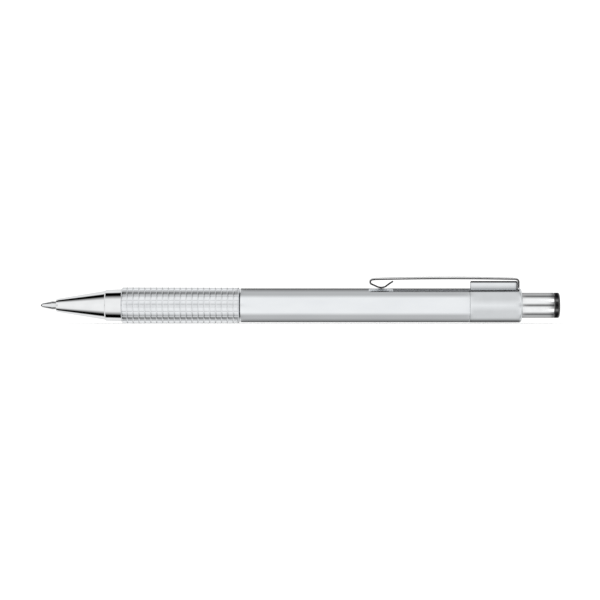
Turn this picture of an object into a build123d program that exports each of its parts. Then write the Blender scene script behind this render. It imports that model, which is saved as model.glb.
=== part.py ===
from build123d import *
import os

# A clutch (mechanical) pencil, laid along X in millimetres.
# X = 0 is the point of the lead on the pencil's axis, the push button is at +X,
# and the pocket clip stands on the +Z side.

# ---------------------------------------------------------------- dimensions
# the lead
lead_r = 0.35
lead_length = 60.0
spare_lead_count = 6
spare_lead_ring_r = 1.1
spare_lead_x = 36.2

# the lead nozzle that pokes out of the nose cone
nozzle_tip_x = 0.35
nozzle_tip_r = 0.5
nozzle_tip_round = 0.09
nozzle_cone_end_x = 2.9
nozzle_cone_end_r = 1.03
nozzle_shank_r = 1.08
nozzle_body_x = 5.2
nozzle_body_r = 1.42
nozzle_flange_x = 8.05
nozzle_flange_r = 1.9
nozzle_flange_end_x = 9.6
nozzle_spigot_r = 1.57
nozzle_end_x = 11.15
nozzle_bore_r = 0.37
nozzle_chamber_r = 1.35
nozzle_chamber_x = 8.1
retainer_pocket_x = 5.5
retainer_r = 0.95
retainer_start_x = 5.6
retainer_end_x = 7.4
retainer_bore_r = 0.36

# the nose cone
nose_front_x = 4.15
nose_face_r = 1.45
nose_face_arc = (4.32, 1.69)
nose_taper_x = 4.75
nose_taper_r = 1.8
nose_ramp_x = 17.15
nose_ramp_r = 3.84
nose_band_x = 17.65
nose_band_r = 4.17
nose_end_x = 21.9
nose_end_r = 4.325
nose_mouth_r = 1.12
nose_lip_x = 5.15
nose_nozzle_bore_r = 1.45
nose_step_x = 8.0
nose_sleeve_bore_r = 1.95
nose_shoulder_x = 13.0
nose_clamp_bore_r = 2.65
nose_thread_x = 14.5
nose_thread_r = 3.0

# the clutch: sleeve, ring, three-jaw collet, spring and connector
sleeve_r = 1.9
sleeve_flange_r = 2.6
sleeve_flange_x = 13.05
sleeve_flange_end_x = 14.45
sleeve_end_x = 18.0
sleeve_mouth_bore_r = 1.6
sleeve_ring_bore_r = 1.5
sleeve_ring_stop_x = 13.75
sleeve_neck_bore_r = 1.15
ring_x = 12.2
ring_end_x = 13.7
ring_r = 1.45
collet_x = 11.3
collet_head_end_x = 13.3
collet_head_r = 1.22
collet_head_end_r = 0.92
collet_neck_r = 0.85
collet_stem_x = 22.0
collet_stem_r = 1.1
collet_end_x = 31.0
collet_bore_r = 0.36
collet_rear_bore_x = 15.0
collet_rear_bore_r = 0.5
collet_jaws = 3
collet_slit = 0.25
cone_clearance = 0.02
spring_wire_r = 0.175
spring_mean_r = 1.6
spring_turns = 8
spring_seat_gap = 0.03
connector_x = 27.0
connector_flange_end_x = 28.0
connector_flange_r = 2.0
connector_r = 1.6
connector_end_x = 35.0
connector_throat_r = 0.6
connector_funnel_x = 33.5
connector_funnel_r = 1.4

# the lead tube and the eraser behind it
tube_x = 31.0
tube_end_x = 124.0
tube_r = 1.95
tube_bore_r = 1.6
holder_neck_x = 118.0
holder_neck_r = 2.35
holder_floor_x = 125.0
holder_end_x = 133.0
holder_r = 2.67
eraser_r = 2.2
eraser_end_x = 136.0
eraser_edge = 0.3

# the grip
core_front_x = 14.5
core_bore_r = 2.2
core_spigot_r = 2.95
core_seat_x = 21.95
core_seat_r = 3.6
core_seat_end_x = 53.7
core_thread_r = 3.4
core_end_x = 61.0
grip_x = 21.95
grip_end_x = 53.7
grip_front_r = 4.84
grip_rear_r = 4.76
grip_edge = 0.35
grip_pads_along = 20
grip_pads_round = 20
groove_depth = 0.2
groove_r = 0.28

# the barrel
barrel_x = 53.9
barrel_end_x = 115.75
barrel_r = 4.57
barrel_bore_r = 4.1
insert_end_x = 63.0

# the clip collar
collar_spigot_x = 107.7
collar_x = 115.75
collar_end_x = 129.75
collar_r = 4.62
collar_round = 0.6
collar_bore_r = 3.0
collar_button_bore_x = 122.0
collar_button_bore_r = 3.46
ridge_x = 115.95
ridge_end_x = 128.75
ridge_width = 1.1
ridge_foot_z = 4.3
ridge_top_z = 6.57
ridge_end_round = 0.4
rim_flatness = 0.001
pocket_x = 128.75
pocket_end_x = 129.25
pocket_width = 3.2
pocket_floor_z = 3.8

# the pocket clip, a spring-steel strip
clip_width = 4.0
clip_thickness = 0.3
clip_blade_x = 89.5
clip_blade_end_x = 128.35
clip_blade_stations = 5
clip_free_z = 6.93
clip_mid_z = 7.18
clip_rear_z = 7.02
clip_crown = 0.42
clip_end_crown = 0.2
clip_overlap = 0.3
clip_front_x = 88.9
clip_front_z = 6.3
clip_curl_x = 89.35
clip_curl_z = 5.66
clip_pad_x = 91.9
clip_pad_z = 4.78
clip_pad_half_length = 1.2
clip_pad_rise = 0.26
clip_tip_x = 95.1
clip_tip_z = 6.45
clip_leg_x = 129.0
clip_shoulder_drop = 0.7
clip_leg_end_z = 4.75
clip_tongue_width = 3.0
clip_tongue_end_z = 3.9

# the push button
button_x = 127.0
button_step_x = 129.85
button_end_x = 138.4
button_skirt_r = 3.1
button_r = 3.4
button_bore_r = 2.7
button_shoulder_x = 133.05
button_plug_r = 2.4
plug_x = 136.4
plug_end_x = 140.0
plug_r = 3.4
plug_round = 0.35
plug_front_round = 0.2

os.makedirs("parts", exist_ok=True)


# ---------------------------------------------------------------- writing lead
with BuildPart() as writing_lead:
    with BuildSketch(Plane.XY):
        with BuildLine():
            ThreePointArc((0, 0), (0.293 * lead_r, 0.707 * lead_r), (lead_r, lead_r))
            Line((lead_r, lead_r), (lead_length, lead_r))
            Line((lead_length, lead_r), (lead_length, 0))
            Line((lead_length, 0), (0, 0))
        make_face()
    revolve(axis=Axis.X)
writing_lead.part.label = "writing_lead"
export_step(writing_lead.part, "parts/writing_lead.step")


# ---------------------------------------------------------------- spare leads
with BuildPart() as spare_leads:
    with BuildSketch(Plane.YZ.offset(spare_lead_x)):
        with PolarLocations(spare_lead_ring_r, spare_lead_count, start_angle=30):
            Circle(lead_r)
    extrude(amount=lead_length)
spare_leads.part.label = "spare_leads"
export_step(spare_leads.part, "parts/spare_leads.step")


# ---------------------------------------------------------------- lead nozzle
with BuildPart() as lead_nozzle:
    with BuildSketch(Plane.XY):
        with BuildLine():
            Polyline(
                (nozzle_tip_x, nozzle_bore_r),
                (nozzle_tip_x, nozzle_tip_r),
                (nozzle_cone_end_x, nozzle_cone_end_r),
                (nozzle_cone_end_x, nozzle_shank_r),
                (nozzle_body_x, nozzle_shank_r),
                (nozzle_body_x, nozzle_body_r),
                (nozzle_flange_x, nozzle_body_r),
                (nozzle_flange_x, nozzle_flange_r),
                (nozzle_flange_end_x, nozzle_flange_r),
                (nozzle_flange_end_x, nozzle_spigot_r),
                (nozzle_end_x, nozzle_spigot_r),
                (nozzle_end_x, nozzle_chamber_r),
                (nozzle_chamber_x, nozzle_chamber_r),
                (nozzle_chamber_x, retainer_r),
                (retainer_pocket_x, retainer_r),
                (retainer_pocket_x, nozzle_bore_r),
                close=True,
            )
        make_face()
    revolve(axis=Axis.X)
    tip_rim = lead_nozzle.edges().filter_by(GeomType.CIRCLE).group_by(Axis.X)[0].sort_by(SortBy.RADIUS)[-1]
    fillet(tip_rim, nozzle_tip_round)
lead_nozzle.part.label = "lead_nozzle"
export_step(lead_nozzle.part, "parts/lead_nozzle.step")


# ---------------------------------------------------------------- lead retainer
with BuildPart() as lead_retainer:
    with BuildSketch(Plane.YZ.offset(retainer_start_x)):
        Circle(retainer_r)
        Circle(retainer_bore_r, mode=Mode.SUBTRACT)
    extrude(amount=retainer_end_x - retainer_start_x)
lead_retainer.part.label = "lead_retainer"
export_step(lead_retainer.part, "parts/lead_retainer.step")


# ---------------------------------------------------------------- nose cone
with BuildPart() as nose_cone:
    with BuildSketch(Plane.XY):
        with BuildLine():
            Line((nose_front_x, nose_mouth_r), (nose_front_x, nose_face_r))
            ThreePointArc(
                (nose_front_x, nose_face_r),
                nose_face_arc,
                (nose_taper_x, nose_taper_r),
            )
            Polyline(
                (nose_taper_x, nose_taper_r),
                (nose_ramp_x, nose_ramp_r),
                (nose_band_x, nose_band_r),
                (nose_end_x, nose_end_r),
                (nose_end_x, nose_thread_r),
                (nose_thread_x, nose_thread_r),
                (nose_thread_x, nose_clamp_bore_r),
                (nose_shoulder_x, nose_clamp_bore_r),
                (nose_shoulder_x, nose_sleeve_bore_r),
                (nose_step_x, nose_sleeve_bore_r),
                (nose_step_x, nose_nozzle_bore_r),
                (nose_lip_x, nose_nozzle_bore_r),
                (nose_lip_x, nose_mouth_r),
                (nose_front_x, nose_mouth_r),
            )
        make_face()
    revolve(axis=Axis.X)
nose_cone.part.label = "nose_cone"
export_step(nose_cone.part, "parts/nose_cone.step")


# ---------------------------------------------------------------- chuck sleeve
with BuildPart() as chuck_sleeve:
    with BuildSketch(Plane.XY):
        with BuildLine():
            Polyline(
                (nozzle_flange_end_x, sleeve_mouth_bore_r),
                (nozzle_flange_end_x, sleeve_r),
                (sleeve_flange_x, sleeve_r),
                (sleeve_flange_x, sleeve_flange_r),
                (sleeve_flange_end_x, sleeve_flange_r),
                (sleeve_flange_end_x, sleeve_r),
                (sleeve_end_x, sleeve_r),
                (sleeve_end_x, sleeve_neck_bore_r),
                (sleeve_ring_stop_x, sleeve_neck_bore_r),
                (sleeve_ring_stop_x, sleeve_ring_bore_r),
                (nozzle_end_x, sleeve_ring_bore_r),
                (nozzle_end_x, sleeve_mouth_bore_r),
                close=True,
            )
        make_face()
    revolve(axis=Axis.X)
chuck_sleeve.part.label = "chuck_sleeve"
export_step(chuck_sleeve.part, "parts/chuck_sleeve.step")


# ---------------------------------------------------------------- clutch ring
# its tapered bore matches the collet's head
head_slope = (collet_head_r - collet_head_end_r) / (collet_head_end_x - collet_x)
ring_bore_front_r = collet_head_r - head_slope * (ring_x - collet_x) + cone_clearance
ring_bore_rear_r = collet_head_r - head_slope * (ring_end_x - collet_x) + cone_clearance

with BuildPart() as clutch_ring:
    with BuildSketch(Plane.XY):
        with BuildLine():
            Polyline(
                (ring_x, ring_bore_front_r),
                (ring_x, ring_r),
                (ring_end_x, ring_r),
                (ring_end_x, ring_bore_rear_r),
                close=True,
            )
        make_face()
    revolve(axis=Axis.X)
clutch_ring.part.label = "clutch_ring"
export_step(clutch_ring.part, "parts/clutch_ring.step")


# ---------------------------------------------------------------- collet
with BuildPart() as collet:
    with BuildSketch(Plane.XY):
        with BuildLine():
            Polyline(
                (collet_x, collet_bore_r),
                (collet_x, collet_head_r),
                (collet_head_end_x, collet_head_end_r),
                (collet_head_end_x, collet_neck_r),
                (collet_stem_x, collet_neck_r),
                (collet_stem_x, collet_stem_r),
                (collet_end_x, collet_stem_r),
                (collet_end_x, collet_rear_bore_r),
                (collet_rear_bore_x, collet_rear_bore_r),
                (collet_rear_bore_x, collet_bore_r),
                close=True,
            )
        make_face()
    revolve(axis=Axis.X)
    # the slits that part the three jaws
    with BuildSketch(Plane.YZ.offset(collet_x)):
        with PolarLocations(collet_head_r, collet_jaws, start_angle=30):
            Rectangle(2 * collet_head_r, collet_slit)
    extrude(amount=collet_stem_x - collet_x, mode=Mode.SUBTRACT)
collet.part.label = "collet"
export_step(collet.part, "parts/collet.step")


# ---------------------------------------------------------------- return spring
spring_start_x = sleeve_end_x + spring_wire_r + spring_seat_gap
spring_length = connector_x - sleeve_end_x - 2 * (spring_wire_r + spring_seat_gap)

with BuildPart() as return_spring:
    with BuildLine() as coil:
        Helix(
            spring_length / spring_turns,
            spring_length,
            spring_mean_r,
            center=(spring_start_x, 0, 0),
            direction=(1, 0, 0),
        )
    with BuildSketch(Plane(coil.line @ 0, z_dir=coil.line % 0)):
        Circle(spring_wire_r)
    sweep(path=coil.line, is_frenet=True)
return_spring.part.label = "return_spring"
export_step(return_spring.part, "parts/return_spring.step")


# ---------------------------------------------------------------- chuck connector
with BuildPart() as chuck_connector:
    with BuildSketch(Plane.XY):
        with BuildLine():
            Polyline(
                (connector_x, collet_stem_r),
                (connector_x, connector_flange_r),
                (connector_flange_end_x, connector_flange_r),
                (connector_flange_end_x, connector_r),
                (connector_end_x, connector_r),
                (connector_end_x, connector_funnel_r),
                (connector_funnel_x, connector_throat_r),
                (collet_end_x, connector_throat_r),
                (collet_end_x, collet_stem_r),
                close=True,
            )
        make_face()
    revolve(axis=Axis.X)
chuck_connector.part.label = "chuck_connector"
export_step(chuck_connector.part, "parts/chuck_connector.step")


# ---------------------------------------------------------------- lead tube
with BuildPart() as lead_tube:
    with BuildSketch(Plane.YZ.offset(tube_x)):
        Circle(tube_r)
        Circle(tube_bore_r, mode=Mode.SUBTRACT)
    extrude(amount=tube_end_x - tube_x)
lead_tube.part.label = "lead_tube"
export_step(lead_tube.part, "parts/lead_tube.step")


# ---------------------------------------------------------------- eraser holder
with BuildPart() as eraser_holder:
    with BuildSketch(Plane.XY):
        with BuildLine():
            Polyline(
                (holder_neck_x, tube_r),
                (holder_neck_x, holder_neck_r),
                (tube_end_x, holder_neck_r),
                (tube_end_x, holder_r),
                (holder_end_x, holder_r),
                (holder_end_x, eraser_r),
                (holder_floor_x, eraser_r),
                (holder_floor_x, tube_bore_r),
                (tube_end_x, tube_bore_r),
                (tube_end_x, tube_r),
                close=True,
            )
        make_face()
    revolve(axis=Axis.X)
eraser_holder.part.label = "eraser_holder"
export_step(eraser_holder.part, "parts/eraser_holder.step")


# ---------------------------------------------------------------- eraser
with BuildPart() as eraser:
    with BuildSketch(Plane.YZ.offset(holder_floor_x)):
        Circle(eraser_r)
    extrude(amount=eraser_end_x - holder_floor_x)
    fillet(eraser.edges().group_by(Axis.X)[-1], eraser_edge)
eraser.part.label = "eraser"
export_step(eraser.part, "parts/eraser.step")


# ---------------------------------------------------------------- grip core
with BuildPart() as grip_core:
    with BuildSketch(Plane.XY):
        with BuildLine():
            Polyline(
                (core_front_x, core_bore_r),
                (core_front_x, core_spigot_r),
                (core_seat_x, core_spigot_r),
                (core_seat_x, core_seat_r),
                (core_seat_end_x, core_seat_r),
                (core_seat_end_x, core_thread_r),
                (core_end_x, core_thread_r),
                (core_end_x, core_bore_r),
                close=True,
            )
        make_face()
    revolve(axis=Axis.X)
grip_core.part.label = "grip_core"
export_step(grip_core.part, "parts/grip_core.step")


# ---------------------------------------------------------------- knurled grip
grip_pitch = (grip_end_x - grip_x) / grip_pads_along
grip_slope = (grip_rear_r - grip_front_r) / (grip_end_x - grip_x)

with BuildPart() as knurled_grip:
    with BuildSketch(Plane.XY):
        with BuildLine():
            Polyline(
                (grip_x, core_seat_r),
                (grip_x, grip_front_r - grip_edge),
                (grip_x + grip_edge, grip_front_r),
                (grip_end_x - grip_edge / 2, grip_rear_r),
                (grip_end_x, grip_rear_r - grip_edge / 2),
                (grip_end_x, core_seat_r),
                close=True,
            )
        make_face()
        # ring grooves between the pads
        for ring in range(1, grip_pads_along):
            x = ring * grip_pitch
            with Locations((grip_x + x, grip_front_r + grip_slope * x + groove_r - groove_depth)):
                Circle(groove_r, mode=Mode.SUBTRACT)
    revolve(axis=Axis.X)
    # lengthwise flutes
    with BuildSketch(Plane.YZ.offset(grip_x - 1)):
        with PolarLocations((grip_front_r + grip_rear_r) / 2 + groove_r - groove_depth, grip_pads_round):
            Circle(groove_r)
    extrude(amount=grip_end_x - grip_x + 2, mode=Mode.SUBTRACT)
knurled_grip.part.label = "knurled_grip"
export_step(knurled_grip.part, "parts/knurled_grip.step")


# ---------------------------------------------------------------- barrel insert
with BuildPart() as barrel_insert:
    with BuildSketch(Plane.YZ.offset(barrel_x)):
        Circle(barrel_bore_r)
        Circle(core_thread_r, mode=Mode.SUBTRACT)
    extrude(amount=insert_end_x - barrel_x)
barrel_insert.part.label = "barrel_insert"
export_step(barrel_insert.part, "parts/barrel_insert.step")


# ---------------------------------------------------------------- barrel tube
with BuildPart() as barrel_tube:
    with BuildSketch(Plane.YZ.offset(barrel_x)):
        Circle(barrel_r)
        Circle(barrel_bore_r, mode=Mode.SUBTRACT)
    extrude(amount=barrel_end_x - barrel_x)
barrel_tube.part.label = "barrel_tube"
export_step(barrel_tube.part, "parts/barrel_tube.step")


# ---------------------------------------------------------------- clip collar
with BuildPart() as clip_collar:
    with BuildSketch(Plane.XY):
        with BuildLine():
            Polyline(
                (collar_end_x, collar_r - collar_round),
                (collar_end_x, collar_button_bore_r),
                (collar_button_bore_x, collar_button_bore_r),
                (collar_button_bore_x, collar_bore_r),
                (collar_spigot_x, collar_bore_r),
                (collar_spigot_x, barrel_bore_r),
                (collar_x, barrel_bore_r),
                (collar_x, collar_r),
                (collar_end_x - collar_round, collar_r),
            )
            ThreePointArc(
                (collar_end_x - collar_round, collar_r),
                (collar_end_x - 0.293 * collar_round, collar_r - 0.293 * collar_round),
                (collar_end_x, collar_r - collar_round),
            )
        make_face()
    revolve(axis=Axis.X)
    # the thin ridge under the clip, round along its top
    with BuildSketch(Plane.YZ.offset(ridge_x)):
        with BuildLine():
            Polyline(
                (-ridge_width / 2, ridge_top_z - ridge_width / 2),
                (-ridge_width / 2, ridge_foot_z),
                (ridge_width / 2, ridge_foot_z),
                (ridge_width / 2, ridge_top_z - ridge_width / 2),
            )
            ThreePointArc(
                (ridge_width / 2, ridge_top_z - ridge_width / 2),
                (0, ridge_top_z),
                (-ridge_width / 2, ridge_top_z - ridge_width / 2),
            )
        make_face()
    extrude(amount=ridge_end_x - ridge_x)
    ridge_rims = clip_collar.edges().filter_by(
        lambda edge: edge.bounding_box().size.X < rim_flatness and edge.center().Z > collar_r
    )
    fillet(ridge_rims, ridge_end_round)
    # the pocket that takes the foot of the clip's leg
    with BuildSketch(Plane.XY.offset(pocket_floor_z)):
        with Locations(((pocket_x + pocket_end_x) / 2, 0)):
            Rectangle(pocket_end_x - pocket_x, pocket_width)
    extrude(amount=collar_r - pocket_floor_z, mode=Mode.SUBTRACT)
clip_collar.part.label = "clip_collar"
export_step(clip_collar.part, "parts/clip_collar.step")


# ---------------------------------------------------------------- pocket clip
blade_step = (clip_blade_end_x - clip_blade_x) / (clip_blade_stations - 1)
blade_half = clip_thickness / 2

with BuildPart() as pocket_clip:
    # the crowned blade, gently bowed along its length and flatter at its ends
    for station in range(clip_blade_stations):
        share = station / (clip_blade_stations - 1)
        hump = 4 * share * (1 - share)
        z = clip_free_z + (clip_rear_z - clip_free_z) * share
        z = z + hump * (clip_mid_z - (clip_free_z + clip_rear_z) / 2)
        crown = clip_end_crown + (clip_crown - clip_end_crown) * min(1, 1.35 * hump)
        with BuildSketch(Plane.YZ.offset(clip_blade_x + station * blade_step)):
            with BuildLine():
                Line((-clip_width / 2, z + blade_half), (-clip_width / 2, z - blade_half))
                ThreePointArc(
                    (-clip_width / 2, z - blade_half),
                    (0, z - blade_half + crown),
                    (clip_width / 2, z - blade_half),
                )
                Line((clip_width / 2, z - blade_half), (clip_width / 2, z + blade_half))
                ThreePointArc(
                    (clip_width / 2, z + blade_half),
                    (0, z + blade_half + crown),
                    (-clip_width / 2, z + blade_half),
                )
            make_face()
    loft()
    # the free end, curled under into a round pad and turned up again
    with BuildSketch(Plane.XZ):
        with BuildLine():
            Line((clip_blade_x + clip_overlap, clip_free_z), (clip_blade_x, clip_free_z))
            ThreePointArc(
                (clip_blade_x, clip_free_z),
                (clip_front_x, clip_front_z),
                (clip_curl_x, clip_curl_z),
            )
            Line((clip_curl_x, clip_curl_z), (clip_pad_x - clip_pad_half_length, clip_pad_z + clip_pad_rise))
            ThreePointArc(
                (clip_pad_x - clip_pad_half_length, clip_pad_z + clip_pad_rise),
                (clip_pad_x, clip_pad_z),
                (clip_pad_x + clip_pad_half_length, clip_pad_z + clip_pad_rise),
            )
            Line((clip_pad_x + clip_pad_half_length, clip_pad_z + clip_pad_rise), (clip_tip_x, clip_tip_z))
        trace(line_width=clip_thickness)
    extrude(amount=clip_width / 2, both=True)
    # the rear leg, bent down behind the ridge
    with BuildSketch(Plane.XZ):
        with BuildLine():
            Line((clip_blade_end_x - clip_overlap, clip_rear_z), (clip_blade_end_x, clip_rear_z))
            RadiusArc(
                (clip_blade_end_x, clip_rear_z),
                (clip_leg_x, clip_rear_z - clip_shoulder_drop),
                clip_shoulder_drop,
            )
            Line((clip_leg_x, clip_rear_z - clip_shoulder_drop), (clip_leg_x, clip_leg_end_z))
        trace(line_width=clip_thickness)
    extrude(amount=clip_width / 2, both=True)
    # the narrower tongue at the foot of the leg, held in the collar's pocket
    with BuildSketch(Plane.YZ.offset(clip_leg_x - clip_thickness / 2)):
        with Locations((0, (clip_leg_end_z + clip_tongue_end_z) / 2)):
            Rectangle(clip_tongue_width, clip_leg_end_z - clip_tongue_end_z)
    extrude(amount=clip_thickness)
pocket_clip.part.label = "pocket_clip"
export_step(pocket_clip.part, "parts/pocket_clip.step")


# ---------------------------------------------------------------- push button
with BuildPart() as push_button:
    with BuildSketch(Plane.XY):
        with BuildLine():
            Polyline(
                (button_x, button_bore_r),
                (button_x, button_skirt_r),
                (button_step_x, button_skirt_r),
                (button_step_x, button_r),
                (button_end_x, button_r),
                (button_end_x, button_plug_r),
                (button_shoulder_x, button_plug_r),
                (button_shoulder_x, button_bore_r),
                close=True,
            )
        make_face()
    revolve(axis=Axis.X)
push_button.part.label = "push_button"
export_step(push_button.part, "parts/push_button.step")


# ---------------------------------------------------------------- button end plug
with BuildPart() as button_end_plug:
    with BuildSketch(Plane.YZ.offset(button_end_x)):
        Circle(plug_r)
    extrude(amount=plug_end_x - button_end_x)
    fillet(button_end_plug.edges().group_by(Axis.X)[-1], plug_round)
    fillet(button_end_plug.edges().group_by(Axis.X)[0], plug_front_round)
    with BuildSketch(Plane.YZ.offset(plug_x)):
        Circle(button_plug_r)
    extrude(amount=button_end_x - plug_x)
button_end_plug.part.label = "button_end_plug"
export_step(button_end_plug.part, "parts/button_end_plug.step")
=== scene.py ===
import math

import bpy
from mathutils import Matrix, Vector


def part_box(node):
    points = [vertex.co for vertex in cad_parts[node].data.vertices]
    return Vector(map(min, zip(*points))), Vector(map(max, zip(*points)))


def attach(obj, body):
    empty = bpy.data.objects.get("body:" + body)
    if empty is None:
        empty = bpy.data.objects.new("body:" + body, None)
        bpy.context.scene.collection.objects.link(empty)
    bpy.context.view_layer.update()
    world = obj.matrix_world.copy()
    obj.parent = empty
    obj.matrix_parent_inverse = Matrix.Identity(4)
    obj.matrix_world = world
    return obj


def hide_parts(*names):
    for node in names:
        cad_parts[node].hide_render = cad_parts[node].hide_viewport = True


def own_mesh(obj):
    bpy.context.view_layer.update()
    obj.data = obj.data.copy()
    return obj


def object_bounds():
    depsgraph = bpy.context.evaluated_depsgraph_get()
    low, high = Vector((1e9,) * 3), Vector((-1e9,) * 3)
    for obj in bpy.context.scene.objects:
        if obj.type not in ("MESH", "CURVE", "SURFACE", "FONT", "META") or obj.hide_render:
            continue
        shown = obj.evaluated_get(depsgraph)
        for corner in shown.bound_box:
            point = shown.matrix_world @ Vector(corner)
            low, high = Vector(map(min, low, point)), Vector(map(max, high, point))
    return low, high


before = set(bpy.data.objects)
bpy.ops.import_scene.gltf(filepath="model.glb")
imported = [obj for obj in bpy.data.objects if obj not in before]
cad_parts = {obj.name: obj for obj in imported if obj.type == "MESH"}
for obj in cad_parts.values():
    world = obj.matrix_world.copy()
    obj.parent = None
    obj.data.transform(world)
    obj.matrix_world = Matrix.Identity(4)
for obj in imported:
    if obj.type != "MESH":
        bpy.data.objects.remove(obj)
cad_low, cad_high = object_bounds()

MM = 0.001
TAU = 2 * math.pi
ROUND = 160          # sides of a turned piece


# ---------------------------------------------------------------- frame sizes, in millimetres
def span(node):
    """The first and last X of a CAD node, and its largest radius across the clip's plane."""
    low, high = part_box(node)
    return low[0] / MM, high[0] / MM, high[1] / MM


nozzle_x, nozzle_end, nozzle_flange_r = span("lead_nozzle")
nose_x, nose_end, nose_r = span("nose_cone")
grip_x, grip_end, _ = span("knurled_grip")
core_x, core_end, core_seat_r = span("grip_core")
barrel_x, barrel_end, barrel_r = span("barrel_tube")
_, collar_end, _ = span("clip_collar")
button_x, button_end, button_r = span("push_button")
plug_x, plug_end, plug_r = span("button_end_plug")
lead_x, lead_end, lead_r = span("writing_lead")
spring_x, spring_end, spring_r = span("return_spring")
clip_low, clip_high = [[value / MM for value in corner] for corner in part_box("pocket_clip")]


# ---------------------------------------------------------------- outlines
def arc_through(a, b, c, steps):
    """Points on the circle through a, b and c, from a to c."""
    (ax, ay), (bx, by), (cx, cy) = a, b, c
    d = 2 * (ax * (by - cy) + bx * (cy - ay) + cx * (ay - by))
    ux = ((ax**2 + ay**2) * (by - cy) + (bx**2 + by**2) * (cy - ay) + (cx**2 + cy**2) * (ay - by)) / d
    uy = ((ax**2 + ay**2) * (cx - bx) + (bx**2 + by**2) * (ax - cx) + (cx**2 + cy**2) * (bx - ax)) / d
    start = math.atan2(ay - uy, ax - ux)
    middle = (math.atan2(by - uy, bx - ux) - start) % TAU
    turn = (math.atan2(cy - uy, cx - ux) - start) % TAU
    if middle > turn:
        turn -= TAU
    radius = math.hypot(ax - ux, ay - uy)
    angles = [start + turn * i / steps for i in range(steps + 1)]
    return [(ux + radius * math.cos(t), uy + radius * math.sin(t)) for t in angles]


def rounded(corners, closed=True, steps=4):
    """An outline from (x, r, fillet) corners.

    A fillet becomes an arc with a holding ring beside each end.
    """
    points = []
    count = len(corners)
    for i, (x, r, fillet) in enumerate(corners):
        here = Vector((x, r))
        ends = closed or 0 < i < count - 1
        if not fillet or not ends:
            points.append((x, r))
            continue
        before = Vector(corners[i - 1][:2]) - here
        after = Vector(corners[(i + 1) % count][:2]) - here
        half = before.angle(after) / 2
        reach = min(fillet / math.tan(half), 0.45 * before.length, 0.45 * after.length)
        hold = 1.35 * reach
        points.append(tuple(here + before.normalized() * min(hold, before.length * 0.49)))
        centre = here + (before.normalized() + after.normalized()).normalized() * reach / math.cos(half)
        first = here + before.normalized() * reach
        last = here + after.normalized() * reach
        nearest = centre + (here - centre).normalized() * (first - centre).length
        points += arc_through(tuple(first), tuple(nearest), tuple(last), steps)
        points.append(tuple(here + after.normalized() * min(hold, after.length * 0.49)))
    return points


# ---------------------------------------------------------------- meshes
def add_mesh(name, verts, faces, material, body, replaced=(), sharp_angle=34):
    """Makes a smooth-shaded piece from vertices in millimetres and sets it on its CAD body."""
    mesh = bpy.data.meshes.new(name)
    mesh.from_pydata([(x * MM, y * MM, z * MM) for x, y, z in verts], [], faces)
    mesh.validate()
    piece = bpy.data.objects.new(name, mesh)
    bpy.context.collection.objects.link(piece)
    mesh.shade_smooth()
    mesh.set_sharp_from_angle(angle=math.radians(sharp_angle))
    mesh.materials.append(material)
    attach(piece, body)
    if replaced:
        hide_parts(*replaced)
    return piece


def ring_faces(rows, around, closed):
    """The quads between rings of vertices, each ring with around of them."""
    faces = []
    for row in range(rows if closed else rows - 1):
        base = row * around
        above = ((row + 1) % rows) * around
        for k in range(around):
            n = (k + 1) % around
            faces.append((base + k, above + k, above + n, base + n))
    return faces


def turned(name, outline, material, body, replaced=(), closed=True, around=ROUND):
    """An (x, r) outline turned round the X axis. An open outline gets a flat cap at each end."""
    verts = []
    for x, r in outline:
        for k in range(around):
            verts.append((x, r * math.cos(TAU * k / around), r * math.sin(TAU * k / around)))
    faces = ring_faces(len(outline), around, closed)
    if not closed:
        last = (len(outline) - 1) * around
        faces.append(tuple(range(around)))
        faces.append(tuple(range(last + around - 1, last - 1, -1)))
    return add_mesh(name, verts, faces, material, body, replaced)


def embossed(name, stations, angles, radius, inner, material, body, replaced=()):
    """A sleeve whose outside is radius(x, angle) at each station, closed by the inner outline."""
    verts = []
    for x in stations:
        for angle in angles:
            r = radius(x, angle)
            verts.append((x, r * math.cos(angle), r * math.sin(angle)))
    for x, r in inner:
        for angle in angles:
            verts.append((x, r * math.cos(angle), r * math.sin(angle)))
    faces = ring_faces(len(stations) + len(inner), len(angles), True)
    return add_mesh(name, verts, faces, material, body, replaced, sharp_angle=50)


def strip(name, spine, section, materials, edge_points, inside_points, body, replaced=()):
    """A strip swept along a spine in the XZ plane.

    section(i) gives the (across, out) points at spine point i. materials are those of the outside,
    of the edge faces between the edge_points, and of the inside.
    """
    verts = []
    count = len(spine)
    for i, (x, z) in enumerate(spine):
        before = Vector(spine[max(i - 1, 0)])
        after = Vector(spine[min(i + 1, count - 1)])
        along = (after - before).normalized()
        out = Vector((along.y, -along.x))
        points = section(i)
        for across, height in points:
            verts.append((x + out.x * height, across, z + out.y * height))
    around = len(section(0))
    faces = ring_faces(count, around, False)
    last = (count - 1) * around
    faces.append(tuple(range(around)))
    faces.append(tuple(range(last + around - 1, last - 1, -1)))
    piece = add_mesh(name, verts, faces, materials[0], body, replaced, sharp_angle=45)
    piece.data.materials.append(materials[1])
    piece.data.materials.append(materials[2])
    for polygon in piece.data.polygons:
        corners = {index % around for index in polygon.vertices}
        if corners <= set(edge_points) or len(polygon.vertices) > 4:
            polygon.material_index = 1
        elif corners <= set(inside_points):
            polygon.material_index = 2
    return piece


# ---------------------------------------------------------------- materials
def new_material(name):
    """A material with one shader, and nothing set on it yet."""
    material = bpy.data.materials.new(name)
    material.use_nodes = True
    nodes = material.node_tree.nodes
    nodes.clear()
    output = nodes.new("ShaderNodeOutputMaterial")
    shader = nodes.new("ShaderNodeBsdfPrincipled")
    material.node_tree.links.new(shader.outputs["BSDF"], output.inputs["Surface"])
    return material, shader


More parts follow.
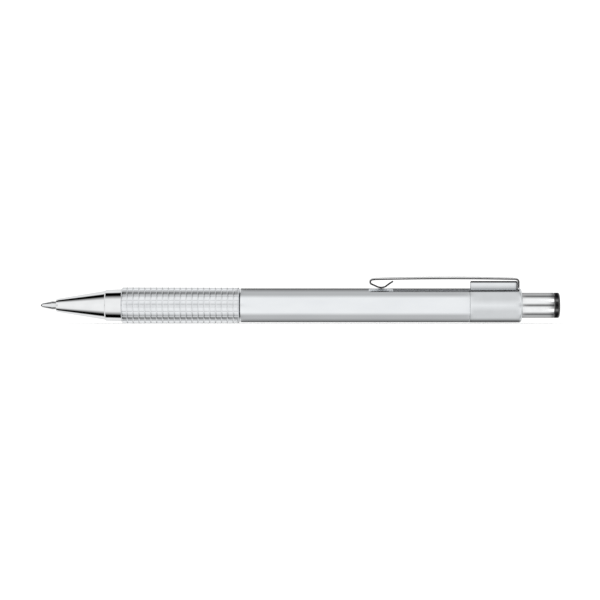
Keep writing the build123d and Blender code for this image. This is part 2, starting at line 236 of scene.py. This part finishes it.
def stretched_noise(tree, scale, detail=3.0, roughness=0.6):
    """Noise whose grain size differs along X, Y and Z: scale is in features per millimetre."""
    place = tree.nodes.new("ShaderNodeTexCoord")
    mapping = tree.nodes.new("ShaderNodeMapping")
    mapping.inputs["Scale"].default_value = [value / MM for value in scale]
    noise = tree.nodes.new("ShaderNodeTexNoise")
    noise.inputs["Scale"].default_value = 1.0
    noise.inputs["Detail"].default_value = detail
    noise.inputs["Roughness"].default_value = roughness
    tree.links.new(place.outputs["Object"], mapping.inputs["Vector"])
    tree.links.new(mapping.outputs["Vector"], noise.inputs["Vector"])
    return noise.outputs["Fac"]


def remap(tree, value, low, high, from_low=0.3, from_high=0.7):
    """Maps a value to low..high; noise fills about 0.3 to 0.7."""
    node = tree.nodes.new("ShaderNodeMapRange")
    node.inputs["From Min"].default_value = from_low
    node.inputs["From Max"].default_value = from_high
    node.inputs["To Min"].default_value = low
    node.inputs["To Max"].default_value = high
    tree.links.new(value, node.inputs["Value"])
    return node.outputs["Result"]


def grey_ramp(tree, value, stops):
    """A ramp of greys from (position, level) stops."""
    ramp = tree.nodes.new("ShaderNodeValToRGB")
    while len(ramp.color_ramp.elements) < len(stops):
        ramp.color_ramp.elements.new(1.0)
    for element, (position, level) in zip(ramp.color_ramp.elements, stops):
        element.position = position
        element.color = (level, level, level, 1)
    tree.links.new(value, ramp.inputs["Fac"])
    return ramp.outputs["Color"]


def mix_colour(tree, factor, low, high):
    """A colour between low and high."""
    node = tree.nodes.new("ShaderNodeMix")
    node.data_type = "RGBA"
    node.inputs["A"].default_value = (*low, 1)
    node.inputs["B"].default_value = (*high, 1)
    tree.links.new(factor, node.inputs["Factor"])
    return node.outputs["Result"]


def add_bump(tree, shader, heights, distance):
    """Bump from a list of (value socket, share) heights; distance is in millimetres."""
    total = None
    for value, share in heights:
        scaled = tree.nodes.new("ShaderNodeMath")
        scaled.operation = "MULTIPLY"
        scaled.inputs[1].default_value = share
        tree.links.new(value, scaled.inputs[0])
        if total is None:
            total = scaled.outputs[0]
        else:
            added = tree.nodes.new("ShaderNodeMath")
            tree.links.new(total, added.inputs[0])
            tree.links.new(scaled.outputs[0], added.inputs[1])
            total = added.outputs[0]
    bump = tree.nodes.new("ShaderNodeBump")
    bump.inputs["Strength"].default_value = 1.0
    bump.inputs["Distance"].default_value = distance * MM
    tree.links.new(total, bump.inputs["Height"])
    tree.links.new(bump.outputs["Normal"], shader.inputs["Normal"])


def surface(name, low, high, rough, grain, patches, bump, metallic=1.0, specular=0.5):
    """A finish with fine grain and broad patches.

    low and high are the two colours the patches drift between, rough the roughness range,
    grain and patches the noise scales in features per millimetre, and bump the relief in millimetres.
    """
    material, shader = new_material(name)
    tree = material.node_tree
    fine = stretched_noise(tree, grain, detail=4.0)
    broad = stretched_noise(tree, patches, detail=2.0)
    tree.links.new(mix_colour(tree, remap(tree, broad, 0, 1), low, high), shader.inputs["Base Color"])
    blend = tree.nodes.new("ShaderNodeMath")
    blend.operation = "MULTIPLY_ADD"
    blend.inputs[1].default_value = 0.5
    half = tree.nodes.new("ShaderNodeMath")
    half.operation = "MULTIPLY"
    half.inputs[1].default_value = 0.5
    tree.links.new(broad, half.inputs[0])
    tree.links.new(fine, blend.inputs[0])
    tree.links.new(half.outputs[0], blend.inputs[2])
    tree.links.new(remap(tree, blend.outputs[0], *rough), shader.inputs["Roughness"])
    shader.inputs["Metallic"].default_value = metallic
    shader.inputs["Specular IOR Level"].default_value = specular
    add_bump(tree, shader, [(fine, 1.0)], bump)
    return material


def multiply_colour(material, add_level):
    """Multiplies a finish's colour by the level that add_level(tree) gives."""
    tree = material.node_tree
    shader = next(node for node in tree.nodes if node.type == "BSDF_PRINCIPLED")
    colour = shader.inputs["Base Color"].links[0].from_socket
    level = add_level(tree)
    shaded = tree.nodes.new("ShaderNodeMix")
    shaded.data_type = "RGBA"
    shaded.blend_type = "MULTIPLY"
    shaded.inputs["Factor"].default_value = 1.0
    tree.links.new(colour, shaded.inputs["A"])
    tree.links.new(level, shaded.inputs["B"])
    tree.links.new(shaded.outputs["Result"], shader.inputs["Base Color"])


def paint_corner_shade(material, reach, darkest):
    """Paints shade into the tint in inner corners, within reach millimetres of another face."""
    deepest_corner = 0.45        # the open share at which the tint is darkest

    def add_level(tree):
        open_share = tree.nodes.new("ShaderNodeAmbientOcclusion")
        open_share.inputs["Distance"].default_value = reach * MM
        return remap(tree, open_share.outputs["AO"], darkest, 1.0, deepest_corner, 1.0)

    multiply_colour(material, add_level)


def paint_shade_above(material, foot, full, level):
    """Paints shade into the tint: it falls to level between two heights, given in millimetres."""
    def add_level(tree):
        place = tree.nodes.new("ShaderNodeNewGeometry")
        split = tree.nodes.new("ShaderNodeSeparateXYZ")
        tree.links.new(place.outputs["Position"], split.inputs["Vector"])
        return remap(tree, split.outputs["Z"], 1.0, level, foot * MM, full * MM)

    multiply_colour(material, add_level)


def paint_edge_shade(material, stops):
    """Paints shade into the tint as the surface turns away from the viewer, by (position, level) stops.
    """
    def add_level(tree):
        facing = tree.nodes.new("ShaderNodeLayerWeight")
        facing.inputs["Blend"].default_value = 0.5
        return grey_ramp(tree, facing.outputs["Facing"], stops)

    multiply_colour(material, add_level)


mirror_steel = surface(
    "mirror_steel", (0.87, 0.88, 0.89), (0.93, 0.94, 0.95), (0.01, 0.05),
    grain=(14, 1.2, 1.2), patches=(0.25, 0.4, 0.4), bump=0.00002,
)
button_chrome = surface(
    "button_chrome", (0.86, 0.87, 0.88), (0.93, 0.94, 0.95), (0.015, 0.03),
    grain=(9, 1.5, 1.5), patches=(0.3, 0.5, 0.5), bump=0.00006,
)
nozzle_steel = surface(
    "nozzle_steel", (0.8, 0.81, 0.82), (0.9, 0.91, 0.92), (0.08, 0.16),
    grain=(22, 1.5, 1.5), patches=(0.9, 0.9, 0.9), bump=0.0002,
)
satin_metal = surface(
    "satin_metal", (0.79, 0.81, 0.83), (0.86, 0.88, 0.9), (0.03, 0.06),
    grain=(9, 9, 9), patches=(0.5, 0.5, 0.5), bump=0.0003,
)
barrel_metal = surface(
    "barrel_metal", (0.885, 0.91, 0.935), (0.925, 0.95, 0.97), (0.02, 0.03),
    grain=(0.25, 16, 16), patches=(0.08, 0.3, 0.3), bump=0.00008,
)
collar_metal = surface(
    "collar_metal", (0.845, 0.87, 0.89), (0.885, 0.91, 0.93), (0.015, 0.025),
    grain=(0.4, 14, 14), patches=(0.3, 0.3, 0.3), bump=0.00008,
)
clip_steel = surface(
    "clip_steel", (0.86, 0.865, 0.87), (0.93, 0.935, 0.94), (0.24, 0.32),
    grain=(0.6, 14, 14), patches=(0.15, 0.6, 0.6), bump=0.0002, metallic=0.5,
)
# painted shade: the clip's edge faces are near black, standing in for the dark shaded line along the
# strip's edges
clip_edge_shade = surface(
    "clip_edge_shade", (0.015, 0.015, 0.016), (0.04, 0.04, 0.042), (0.35, 0.5),
    grain=(10, 5, 10), patches=(0.6, 0.6, 0.6), bump=0.0012, metallic=0.3, specular=0.25,
)
# painted shade: the clip's inner face is a darker grey, standing in for the shade under the clip
clip_underside_shade = surface(
    "clip_underside_shade", (0.38, 0.38, 0.385), (0.46, 0.46, 0.465), (0.26, 0.36),
    grain=(1, 12, 12), patches=(0.2, 0.6, 0.6), bump=0.0004,
)
black_gloss = surface(
    "black_gloss", (0.003, 0.003, 0.0035), (0.006, 0.006, 0.007), (0.02, 0.035),
    grain=(7, 7, 7), patches=(0.8, 0.8, 0.8), bump=0.00005, metallic=0.0, specular=1.0,
)
graphite = surface(
    "graphite", (0.02, 0.02, 0.022), (0.06, 0.06, 0.065), (0.32, 0.5),
    grain=(1.2, 25, 25), patches=(1, 4, 4), bump=0.0015, metallic=0.35,
)
turned_brass = surface(
    "turned_brass", (0.72, 0.52, 0.23), (0.86, 0.67, 0.35), (0.14, 0.28),
    grain=(16, 0.8, 0.8), patches=(0.3, 0.5, 0.5), bump=0.0012,
)
spring_wire = surface(
    "spring_wire", (0.6, 0.61, 0.63), (0.74, 0.75, 0.77), (0.2, 0.32),
    grain=(8, 8, 8), patches=(0.7, 0.7, 0.7), bump=0.0008,
)
white_acetal = surface(
    "white_acetal", (0.74, 0.74, 0.72), (0.84, 0.84, 0.82), (0.36, 0.5),
    grain=(6, 6, 6), patches=(0.4, 0.4, 0.4), bump=0.0016, metallic=0.0,
)
smoke_plastic = surface(
    "smoke_plastic", (0.16, 0.165, 0.175), (0.24, 0.245, 0.255), (0.3, 0.42),
    grain=(5, 9, 9), patches=(0.2, 0.4, 0.4), bump=0.0012, metallic=0.0,
)
black_rubber = surface(
    "black_rubber", (0.015, 0.015, 0.015), (0.04, 0.04, 0.04), (0.6, 0.8),
    grain=(9, 9, 9), patches=(1, 1, 1), bump=0.004, metallic=0.0,
)
eraser_rubber = surface(
    "eraser_rubber", (0.82, 0.81, 0.79), (0.93, 0.925, 0.91), (0.65, 0.85),
    grain=(7, 7, 7), patches=(0.7, 0.7, 0.7), bump=0.006, metallic=0.0, specular=0.25,
)
# painted shade: the nozzle's tint darkens towards its outline
paint_edge_shade(nozzle_steel, [(0.0, 1.0), (0.3, 1.0), (0.55, 0.45), (1.0, 0.12)])
# painted shade on the collar: darker in the corners at the ridge's foot, and along the ridge's top under
# the clip
paint_corner_shade(collar_metal, 1.1, 0.45)
paint_shade_above(collar_metal, 6.0, 6.2, 0.25)
# painted shade: the brass parts darken deep in the narrow gaps and corners between parts
paint_corner_shade(turned_brass, 1.0, 0.12)


# ---------------------------------------------------------------- pieces
def make_nose():
    """The cone, its short ramp and its band, with a soft front lip."""
    lip_r, taper_x, taper_r = 1.62, nose_x + 0.6, 1.8
    ramp_x, ramp_r = nose_x + 13.18, 3.87
    band_x, band_r = nose_x + 13.48, 4.17
    # the stepped bore, from the mouth back to the core's thread
    mouth_r = 1.12
    throat_x, throat_r = nose_x + 1.0, 1.45
    flange_x, flange_r = nose_x + 3.85, 1.95
    sleeve_x, sleeve_r = nose_x + 8.85, 2.65
    thread_x, thread_r = nose_x + 10.35, 3.0
    outline = rounded([
        (nose_x, mouth_r, 0.05),
        (nose_x, lip_r, 0.1),
        (taper_x, taper_r, 0.6),
        (ramp_x, ramp_r, 0.04),
        (band_x, band_r, 0.08),
        (nose_end, nose_r, 0.08),
        (nose_end, thread_r, 0.05),
        (thread_x, thread_r, 0),
        (thread_x, sleeve_r, 0),
        (sleeve_x, sleeve_r, 0),
        (sleeve_x, flange_r, 0),
        (flange_x, flange_r, 0),
        (flange_x, throat_r, 0),
        (throat_x, throat_r, 0),
        (throat_x, mouth_r, 0),
    ])
    turned("nose_cone_shell", outline, mirror_steel, "nose_unit", ["nose_cone"])


def make_nozzle():
    """The lead's guide: a fine cone in front, and a shank, flange and holder inside the nose cone."""
    bore_r, tip_r = 0.37, 0.5
    cone_x, cone_r = nozzle_x + 2.55, 1.03
    neck_x, neck_r = nozzle_x + 2.6, 1.08
    shank_x, shank_r = nozzle_x + 4.85, 1.42
    flange_x, flange_end = nozzle_x + 7.7, nozzle_x + 9.25
    tail_r = 1.57
    mouth_x, mouth_r = nozzle_x + 7.75, 1.35
    retainer_x, retainer_r = nozzle_x + 5.15, 0.95
    outline = rounded([
        (nozzle_x, bore_r, 0.02),
        (nozzle_x, tip_r, 0.09),
        (cone_x, cone_r, 0.06),
        (neck_x, neck_r, 0.03),
        (shank_x, neck_r, 0),
        (shank_x, shank_r, 0.03),
        (flange_x, shank_r, 0),
        (flange_x, nozzle_flange_r, 0.05),
        (flange_end, nozzle_flange_r, 0.05),
        (flange_end, tail_r, 0),
        (nozzle_end, tail_r, 0.08),
        (nozzle_end, mouth_r, 0.03),
        (mouth_x, mouth_r, 0),
        (mouth_x, retainer_r, 0),
        (retainer_x, retainer_r, 0),
        (retainer_x, bore_r, 0),
    ])
    turned("lead_nozzle_shell", outline, nozzle_steel, "nose_unit", ["lead_nozzle"], around=96)


def make_lead():
    """A graphite rod, worn round at the writing end."""
    dome_turns = (0.12, 0.35, 0.6, 0.9, 1.2, TAU / 4)
    dome = [(lead_x + lead_r * (1 - math.cos(t)), lead_r * math.sin(t)) for t in dome_turns]
    outline = dome + [(lead_x + 2 * lead_r, lead_r), (lead_end - 0.05, lead_r), (lead_end, lead_r - 0.04)]
    turned("writing_lead_rod", outline, graphite, "lead_unit", ["writing_lead"], closed=False, around=48)


def make_grip():
    """Twenty rings of twenty square pads with narrow grooves between them.

    Each ring is a little smaller than the one in front of it.
    """
    pads = 20
    front_r, rear_r = 4.84, 4.76
    ring_depth, line_depth, end_chamfer = 0.08, 0.045, 0.22
    pad_edge, groove_edge = 0.8, 0.96
    # where the mesh is cut within one pad's pitch, closest beside the grooves
    cuts = (0.0, 0.035, 0.07, 0.11, 0.16, 0.3, 0.5, 0.7, 0.84, 0.89, 0.93, 0.965)
    turn = math.radians(2.4)
    length = grip_end - grip_x
    pitch = length / pads

    def groove(position):
        """0 on a pad's flat, 1 at the bottom of the groove between two pads."""
        across = abs(2 * (position % 1) - 1)
        share = min(1.0, max(0.0, (across - pad_edge) / (groove_edge - pad_edge)))
        return share * share * (3 - 2 * share)

    def radius(x, angle):
        ring = ring_depth * groove((x - grip_x) / pitch)
        line = line_depth * groove((angle - turn) / TAU * pads)
        end = min(x - grip_x, grip_end - x)
        chamfer = max(0.0, end_chamfer - end)
        outer = front_r + (rear_r - front_r) * min(pads - 1, int((x - grip_x) / pitch)) / (pads - 1)
        return outer - (ring ** 3 + line ** 3) ** (1 / 3) - chamfer

    places = [pad + cut for pad in range(pads) for cut in cuts]
    stations = [grip_x + pitch * place for place in places] + [grip_end]
    angles = [TAU * place / pads + turn for place in places]
    inner = [(grip_end, core_seat_r), (grip_x, core_seat_r)]
    embossed(
        "knurled_grip_sleeve", stations, angles, radius, inner,
        satin_metal, "barrel_unit", ["knurled_grip"],
    )


def make_core():
    """The core under the grip, with a fine thread on its front spigot and at its rear end."""
    thread_pitch, thread_depth = 0.5, 0.14
    spigot_r, rear_r, bore_r = 2.95, 3.4, 2.2
    relief = 0.2
    thread_start, thread_stop = core_x + 0.6, grip_x - 0.8
    steps_per_pitch, around = 6, 72
    split = 0.001        # between the two stations of a sharp step

    def thread(x, angle, crest):
        phase = (x / thread_pitch - angle / TAU) % 1
        return crest - thread_depth * abs(2 * phase - 1)

    def radius(x, angle):
        if x < thread_start:
            return spigot_r - relief
        if x < thread_stop:
            return thread(x, angle, spigot_r)
        if x < grip_x:
            return spigot_r - relief
        if x <= grip_end:
            return core_seat_r
        return thread(x, angle, rear_r)

    step = thread_pitch / steps_per_pitch
    front = [core_x + step * i for i in range(int((grip_x - core_x) / step) + 1)]
    seat = [grip_x - split, grip_x + split, grip_end - split, grip_end + split]
    rear = [grip_end + step * i for i in range(1, int((core_end - grip_end) / step))]
    inner = [(core_end, rear_r - relief), (core_end, bore_r), (core_x, bore_r)]
    angles = [TAU * k / around for k in range(around)]
    embossed(
        "grip_core_body", front + seat + rear, angles, radius, inner,
        turned_brass, "barrel_unit", ["grip_core"],
    )


def make_barrel():
    """A plain tube, rounded a little more at the rear."""
    bore_r = 4.1
    outline = rounded([
        (barrel_x, bore_r, 0),
        (barrel_x, barrel_r, 0.06),
        (barrel_end, barrel_r, 0.12),
        (barrel_end, bore_r, 0),
    ])
    turned("barrel_shell", outline, barrel_metal, "barrel_unit", ["barrel_tube"])


def make_button():
    """The bright cap, and the thinner skirt by which it slides in the collar."""
    exposed_x, skirt_r = collar_end + 0.1, 3.1
    shoulder_x, bore_r, plug_bore_r = button_x + 6.05, 2.7, 2.4
    outline = rounded([
        (button_x, bore_r, 0),
        (button_x, skirt_r, 0.05),
        (exposed_x, skirt_r, 0),
        (exposed_x, button_r, 0.03),
        (button_end, button_r, 0.04),
        (button_end, plug_bore_r, 0),
        (shoulder_x, plug_bore_r, 0),
        (shoulder_x, bore_r, 0),
    ])
    turned("push_button_shell", outline, button_chrome, "button_unit", ["push_button"])


def make_plug():
    """The black end: a stem inside the button and a rounded head behind it."""
    stem_r, middle_r = 2.4, 0.05
    outline = rounded([
        (plug_x, middle_r, 0),
        (plug_x, stem_r, 0.1),
        (button_end, stem_r, 0),
        (button_end, plug_r, 0.22),
        (plug_end, plug_r, 0.38),
        (plug_end, middle_r, 0),
    ], closed=False, steps=6)
    turned("button_end_cap", outline, black_gloss, "button_unit", ["button_end_plug"], closed=False)


def make_clip():
    """A crowned steel strip: leg behind the ridge, bowed blade, and a curled pad at the free end."""
    thickness, half_width, soft, nick = 0.3, 2.0, 0.07, 0.02
    bend_middle = 0.293          # how far a quarter turn's middle lies in from its corner
    curl_extra = 0.1             # the curled end is drawn thicker by this, on its inner side
    half_top, edge = 6, 4        # strips across half the crown, and points down each sheared edge
    leg_x, leg_end_z = clip_high[0] - thickness / 2, 4.75
    half = thickness / 2 - 0.01
    front_x = clip_low[0] + thickness / 2
    blade_x, blade_end = front_x + 0.6, leg_x - 0.65
    free_z, mid_z, rear_z, shoulder = 6.93, 7.18, 7.02, 0.7
    crown_mid, crown_end, crown_pad = 0.42, 0.3, 0.04
    pad_x, pad_z, pad_reach, pad_rise = front_x + 3.0, 4.78, 1.2, 0.26

    leg = [(leg_x, leg_end_z), (leg_x, leg_end_z + 0.1), (leg_x, 5.6)]
    bend = arc_through(
        (leg_x, rear_z - shoulder),
        (leg_x - bend_middle * shoulder, rear_z - bend_middle * shoulder),
        (leg_x - shoulder, rear_z), 8,
    )
    blade = []
    steps = 40
    for i in range(1, steps):
        share = 1 - i / steps
        hump = 4 * share * (1 - share)
        z = free_z + (rear_z - free_z) * share + hump * (mid_z - (free_z + rear_z) / 2)
        blade.append((blade_x + (blade_end - blade_x) * share, z))
    curl = arc_through((blade_x, free_z), (front_x, 6.3), (front_x + 0.45, 5.66), 12)
    pad_top = pad_z + pad_rise
    pad = arc_through((pad_x - pad_reach, pad_top), (pad_x, pad_z), (pad_x + pad_reach, pad_top), 10)
    tip = [(front_x + 5.2, 5.79), (front_x + 6.1, 6.37), (front_x + 6.2, 6.45)]
    spine = leg + bend + blade + curl + pad + tip
    blade_start = len(leg) + len(bend)
    curl_start = blade_start + len(blade)
    pad_start = curl_start + len(curl)

    def crown_at(i):
        if i < blade_start:
            return crown_end * max(0, i - len(leg)) / len(bend)
        if i < curl_start:
            share = (i - blade_start) / steps
            return crown_end + (crown_mid - crown_end) * min(1, 5.4 * share * (1 - share))
        if i < pad_start:
            return crown_end + (crown_pad - crown_end) * (i - curl_start) / len(curl)
        return crown_pad

    def section(i):
        width = half_width - (soft if i in (0, len(spine) - 1) else 0)
        half = thickness / 2
        deep = half + (curl_extra if i >= curl_start else 0)
        outside = []
        inside = []
        for k in range(-half_top, half_top + 1):
            across = k / half_top
            lift = crown_at(i) * (1 - across * across)
            outside.append((across * (width - soft), half + lift))
            inside.append((across * (width - soft), lift - deep))
        side = [
            (width - nick, half - nick),
            (width, half - soft),
            (width, soft - deep),
            (width - nick, nick - deep),
        ]
        other = [(-across, out) for across, out in reversed(side)]
        return list(reversed(outside)) + other + inside + list(reversed(side))

    # a section's points in order: the outside, one edge, the inside, the other edge
    top = 2 * half_top + 1
    near_edge = range(top - 1, top + edge + 1)
    far_edge = range(2 * top + edge - 1, 2 * (top + edge))
    edge_points = [*near_edge, *far_edge, 0]
    inside_points = range(top + edge, 2 * top + edge)
    faces = (clip_steel, clip_edge_shade, clip_underside_shade)
    strip(
        "pocket_clip_strip", spine, section, faces, edge_points, inside_points,
        "clip_unit", ["pocket_clip"],
    )

    # the tongue at the foot of the leg, held in the collar's pocket
    half_tongue, tongue_end_z = 1.5, clip_low[2]
    corners = [(half_tongue, half), (-half_tongue, half), (-half_tongue, -half), (half_tongue, -half)]
    line = [(leg_x, tongue_end_z), (leg_x, leg_end_z - 0.02), (leg_x, leg_end_z + 0.3)]
    tongue = strip("pocket_clip_tongue", line, lambda i: corners, faces, (), (), "clip_unit")


def make_spring():
    """The coil spring round the collet. In the pencil it closes up as the button is pressed; this coil
    keeps its rest length.
    """
    turns, steps, sides = 8, 40, 10
    wire_r = 0.175
    mean_r = spring_r - wire_r
    start, length = spring_x + wire_r, spring_end - spring_x - 2 * wire_r
    verts = []
    rows = turns * steps + 1
    for row in range(rows):
        turn = TAU * row / steps
        slope = length / (TAU * turns)
        along = Vector((slope, -mean_r * math.sin(turn), mean_r * math.cos(turn))).normalized()
        out = Vector((0, math.cos(turn), math.sin(turn)))
        side = along.cross(out)
        centre = Vector((start + length * row / (rows - 1), mean_r * out.y, mean_r * out.z))
        for k in range(sides):
            angle = TAU * k / sides
            verts.append(tuple(centre + wire_r * (math.cos(angle) * out + math.sin(angle) * side)))
    faces = ring_faces(rows, sides, False)
    last = (rows - 1) * sides
    faces.append(tuple(range(sides)))
    faces.append(tuple(range(last + sides - 1, last - 1, -1)))
    coil = add_mesh("return_spring_coil", verts, faces, spring_wire, "barrel_unit", ["return_spring"])
    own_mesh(coil)


for make in (
    make_nose, make_nozzle, make_lead, make_grip, make_core, make_barrel,
    make_button, make_plug, make_clip, make_spring,
):
    make()

# the pieces whose CAD shape is shown as it is
cad_finishes = {
    "spare_leads": graphite,
    "lead_retainer": black_rubber,
    "chuck_sleeve": turned_brass,
    "clutch_ring": turned_brass,
    "collet": turned_brass,
    "chuck_connector": white_acetal,
    "lead_tube": smoke_plastic,
    "eraser_holder": white_acetal,
    "eraser": eraser_rubber,
    "barrel_insert": turned_brass,
    "clip_collar": collar_metal,
}
for node, material in cad_finishes.items():
    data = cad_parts[node].data
    data.materials.clear()
    data.materials.append(material)


# ---------------------------------------------------------------- studio
camera_x = (cad_low[0] + cad_high[0]) / 2
camera_distance = 0.7


def make_floor():
    """A pale paper sheet just under the pencil, which metal doesn't reflect."""
    half = 3.0
    level = cad_low[2] - 0.00002
    mesh = bpy.data.meshes.new("floor")
    corners = [(x, y, level) for x, y in ((-half, -half), (half, -half), (half, half), (-half, half))]
    mesh.from_pydata(corners, [], [(0, 1, 2, 3)])
    floor = bpy.data.objects.new("floor", mesh)
    bpy.context.collection.objects.link(floor)
    material, shader = new_material("floor_paper")
    tree = material.node_tree
    grain = stretched_noise(tree, (0.8, 0.8, 0.8))
    paper = mix_colour(tree, grain, (0.93, 0.93, 0.93), (0.96, 0.96, 0.96))
    tree.links.new(paper, shader.inputs["Base Color"])
    shader.inputs["Roughness"].default_value = 0.9
    shader.inputs["Specular IOR Level"].default_value = 0.0
    mesh.materials.append(material)
    floor.visible_glossy = False


def band_ramp(tree, turn, bands):
    """Brightness by angle round the pencil's axis, from (degrees, level) bands."""
    return grey_ramp(tree, turn, [(degrees / 360 + 0.5, level) for degrees, level in bands])


def mirrored(half_ring):
    """The same light above and below the camera, from (degrees, level) stops on one side."""
    return [(-degrees, level) for degrees, level in reversed(half_ring) if degrees] + half_ring


def make_world():
    """A white studio, the same above and below the camera.

    Reflections see a broad soft box in front and flags beside it, in bays along the pencil's axis.
    """
    # (angle from the camera's direction, brightness) round the X axis
    nose_bay = mirrored([(0, 0.95), (45, 0.9), (75, 0.0), (100, 0.0), (110, 0.9), (180, 0.7)])
    grip_bay = mirrored([(0, 0.6), (20, 1.0), (50, 1.0), (80, 0.3), (100, 0.3), (120, 1.0), (180, 0.7)])
    barrel_bay = mirrored([(0, 0.9), (50, 0.9), (75, 0.5), (100, 0.5), (150, 0.1), (180, 0.1)])
    collar_bay = mirrored([(0, 0.9), (40, 0.7), (90, 0.7), (130, 0.3), (180, 0.1)])
    button_bay = mirrored([(0, 0.1), (20, 1.0), (60, 1.0), (90, 0.1), (110, 0.5), (180, 0.3)])
    cap_bay = mirrored([(0, 0.0), (30, 0.2), (40, 2.0), (50, 2.0), (65, 0.2), (90, 0.0), (180, 0.1)])
    side_bay = mirrored([(0, 0.6), (30, 0.9), (60, 0.8), (90, 0.4), (120, 0.8), (180, 0.6)])

    def bay_edge(x):
        """The X share of the direction in which the camera sees the pencil's X."""
        return (x * MM - camera_x) / camera_distance

    # (where the bay starts, its light, half the width of its soft start)
    # the nose cone's slope turns its reflections forward as far as cone_edge
    cone_edge = -0.56
    bays = [
        (cone_edge, nose_bay, 0.02),
        (bay_edge(nose_end), grip_bay, 0.001),
        (bay_edge(grip_end), barrel_bay, 0.0006),
        (bay_edge(barrel_end + 0.2), collar_bay, 0.0006),
        (bay_edge(collar_end), button_bay, 0.001),
        (bay_edge(button_end - 0.6), cap_bay, 0.0008),
        (bay_edge(plug_end + 14), side_bay, 0.004),
    ]
    world = bpy.data.worlds.new("studio")
    bpy.context.scene.world = world
    world.use_nodes = True
    world.cycles.sampling_method = "NONE"
    tree = world.node_tree
    tree.nodes.clear()
    output = tree.nodes.new("ShaderNodeOutputWorld")
    place = tree.nodes.new("ShaderNodeTexCoord")
    split = tree.nodes.new("ShaderNodeSeparateXYZ")
    tree.links.new(place.outputs["Generated"], split.inputs["Vector"])
    towards = tree.nodes.new("ShaderNodeMath")
    towards.operation = "MULTIPLY"
    towards.inputs[1].default_value = -1
    tree.links.new(split.outputs["Y"], towards.inputs[0])
    angle = tree.nodes.new("ShaderNodeMath")
    angle.operation = "ARCTAN2"
    tree.links.new(split.outputs["Z"], angle.inputs[0])
    tree.links.new(towards.outputs[0], angle.inputs[1])
    turn = tree.nodes.new("ShaderNodeMath")
    turn.operation = "MULTIPLY_ADD"
    turn.inputs[1].default_value = 1 / TAU
    turn.inputs[2].default_value = 0.5
    tree.links.new(angle.outputs[0], turn.inputs[0])
    light = band_ramp(tree, turn.outputs[0], side_bay)
    for edge, bands, softness in bays:
        step = tree.nodes.new("ShaderNodeMapRange")
        step.inputs["From Min"].default_value = edge - softness
        step.inputs["From Max"].default_value = edge + softness
        tree.links.new(split.outputs["X"], step.inputs["Value"])
        join = tree.nodes.new("ShaderNodeMix")
        join.data_type = "RGBA"
        tree.links.new(step.outputs["Result"], join.inputs["Factor"])
        tree.links.new(light, join.inputs["A"])
        tree.links.new(band_ramp(tree, turn.outputs[0], bands), join.inputs["B"])
        light = join.outputs["Result"]
    plain_strength = 1.15        # the white light that everything but reflections sees
    rays = tree.nodes.new("ShaderNodeLightPath")
    reflected = tree.nodes.new("ShaderNodeBackground")
    tree.links.new(light, reflected.inputs["Color"])
    plain = tree.nodes.new("ShaderNodeBackground")
    plain.inputs["Color"].default_value = (1, 1, 1, 1)
    plain.inputs["Strength"].default_value = plain_strength
    mix = tree.nodes.new("ShaderNodeMixShader")
    tree.links.new(rays.outputs["Is Glossy Ray"], mix.inputs["Fac"])
    tree.links.new(plain.outputs[0], mix.inputs[1])
    tree.links.new(reflected.outputs[0], mix.inputs[2])
    tree.links.new(mix.outputs[0], output.inputs["Surface"])


def make_camera():
    """A long lens, square on to the pencil from the side."""
    frame_width = 0.1621         # metres across the picture, at the pencil
    height = 0.00143
    sensor = 36.0
    camera = bpy.data.cameras.new("camera")
    camera.sensor_width = sensor
    camera.lens = sensor * camera_distance / frame_width
    camera.clip_start = 0.05
    camera.clip_end = 20
    holder = bpy.data.objects.new("camera", camera)
    bpy.context.collection.objects.link(holder)
    holder.location = (camera_x, -camera_distance, height)
    holder.rotation_euler = (TAU / 4, 0, 0)
    bpy.context.scene.camera = holder


make_floor()
make_world()
make_camera()
bpy.context.scene.view_settings.view_transform = "Standard"
